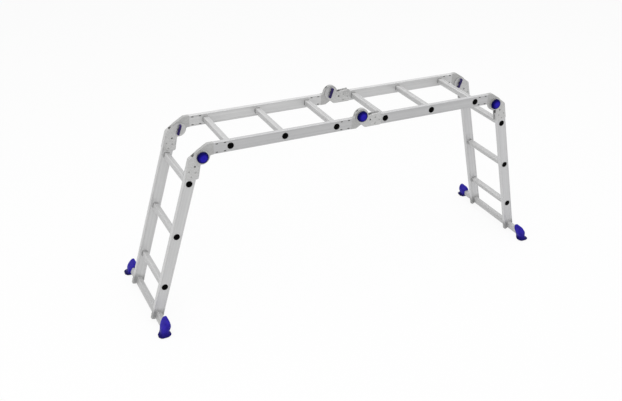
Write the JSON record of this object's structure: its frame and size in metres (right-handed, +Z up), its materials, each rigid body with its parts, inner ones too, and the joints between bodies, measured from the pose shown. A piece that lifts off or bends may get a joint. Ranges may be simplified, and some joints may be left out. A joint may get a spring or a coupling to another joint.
{
  "type": "combination ladder",
  "caption": "Folding multi-position ladder of box stiles and square rungs, standing as a low bench, with push-knob locking hinges and booted stabiliser bars.",
  "frame": {"origin": "on the floor below the middle of the deck", "axes": "+X along the deck to the right of the picture, +Y across it away from the viewer, +Z up"},
  "size_m": [2.27, 0.645, 0.9661],
  "materials": {
    "stile": "mill finish extrusion, satin",
    "rung": "mill finish extrusion, grooved",
    "plug": "moulded black",
    "hinge_socket": "zinc-plated pressing",
    "hinge_strap": "zinc-plated pressing",
    "hinge_pin": "turned",
    "knob": "moulded blue",
    "lock_bar": "dark violet coating",
    "spring": "spring wire",
    "rivet": "plated",
    "stabiliser": "mill finish tube",
    "bolt": "plated",
    "boot": "moulded blue, matt"
  },
  "bodies": {
    "left_deck": {"left_deck_near_stile": "stile", "left_deck_far_stile": "stile", "left_deck_rungs": "rung", "left_deck_rung_plugs": "plug", "left_near_socket": "hinge_socket", "left_far_socket": "hinge_socket", "centre_near_socket": "hinge_socket", "centre_far_socket": "hinge_socket"},
    "left_leg": {"left_leg_near_stile": "stile", "left_leg_far_stile": "stile", "left_leg_rungs": "rung", "left_leg_rung_plugs": "plug", "left_near_straps": "hinge_strap", "left_far_straps": "hinge_strap", "left_hinge_pins": "hinge_pin", "left_hinge_rivets": "rivet", "left_near_spring": "spring", "left_far_spring": "spring", "left_stabiliser_bar": "stabiliser", "left_stabiliser_bolts": "bolt", "left_near_foot": "boot", "left_far_foot": "boot"},
    "right_leg": {"right_leg_near_stile": "stile", "right_leg_far_stile": "stile", "right_leg_rungs": "rung", "right_leg_rung_plugs": "plug", "right_near_straps": "hinge_strap", "right_far_straps": "hinge_strap", "right_hinge_pins": "hinge_pin", "right_hinge_rivets": "rivet", "right_near_spring": "spring", "right_far_spring": "spring", "right_stabiliser_bar": "stabiliser", "right_stabiliser_bolts": "bolt", "right_near_foot": "boot", "right_far_foot": "boot"},
    "right_deck": {"right_deck_near_stile": "stile", "right_deck_far_stile": "stile", "right_deck_rungs": "rung", "right_deck_rung_plugs": "plug", "right_near_socket": "hinge_socket", "right_far_socket": "hinge_socket", "centre_near_straps": "hinge_strap", "centre_far_straps": "hinge_strap", "centre_hinge_pins": "hinge_pin", "centre_hinge_rivets": "rivet", "centre_near_spring": "spring", "centre_far_spring": "spring"},
    "left_near_release": {"left_near_knob": "knob", "left_near_lock_bar": "lock_bar"},
    "left_far_release": {"left_far_knob": "knob", "left_far_lock_bar": "lock_bar"},
    "centre_near_release": {"centre_near_knob": "knob", "centre_near_lock_bar": "lock_bar"},
    "centre_far_release": {"centre_far_knob": "knob", "centre_far_lock_bar": "lock_bar"},
    "right_near_release": {"right_near_knob": "knob", "right_near_lock_bar": "lock_bar"},
    "right_far_release": {"right_far_knob": "knob", "right_far_lock_bar": "lock_bar"}
  },
  "joints": [
    {"name": "left_leg_fold", "type": "hinge", "parent": "left_deck", "child": "left_leg", "pos_m": [-0.84, 0, 0.86209], "axis": [0, -1, 0], "range_deg": [-75, 105]},
    {"name": "centre_fold", "type": "hinge", "parent": "left_deck", "child": "right_deck", "pos_m": [0, 0, 0.92809], "axis": [0, -1, 0], "range_deg": [0, 180]},
    {"name": "right_leg_fold", "type": "hinge", "parent": "right_deck", "child": "right_leg", "pos_m": [0.84, 0, 0.86209], "axis": [0, 1, 0], "range_deg": [-75, 105]},
    {"name": "left_near_push", "type": "slide", "parent": "left_leg", "child": "left_near_release", "axis": [0, -1, 0], "range_m": [-0.0025, 0.005], "stiffness_N_per_m": 1500, "deforming": ["left_near_spring"]},
    {"name": "left_far_push", "type": "slide", "parent": "left_leg", "child": "left_far_release", "axis": [0, 1, 0], "range_m": [-0.0025, 0.005], "stiffness_N_per_m": 1500, "deforming": ["left_far_spring"]},
    {"name": "centre_near_push", "type": "slide", "parent": "right_deck", "child": "centre_near_release", "axis": [0, -1, 0], "range_m": [-0.0025, 0.005], "stiffness_N_per_m": 1500, "deforming": ["centre_near_spring"]},
    {"name": "centre_far_push", "type": "slide", "parent": "right_deck", "child": "centre_far_release", "axis": [0, 1, 0], "range_m": [-0.0025, 0.005], "stiffness_N_per_m": 1500, "deforming": ["centre_far_spring"]},
    {"name": "right_near_push", "type": "slide", "parent": "right_leg", "child": "right_near_release", "axis": [0, -1, 0], "range_m": [-0.0025, 0.005], "stiffness_N_per_m": 1500, "deforming": ["right_near_spring"]},
    {"name": "right_far_push", "type": "slide", "parent": "right_leg", "child": "right_far_release", "axis": [0, 1, 0], "range_m": [-0.0025, 0.005], "stiffness_N_per_m": 1500, "deforming": ["right_far_spring"]}
  ]
}
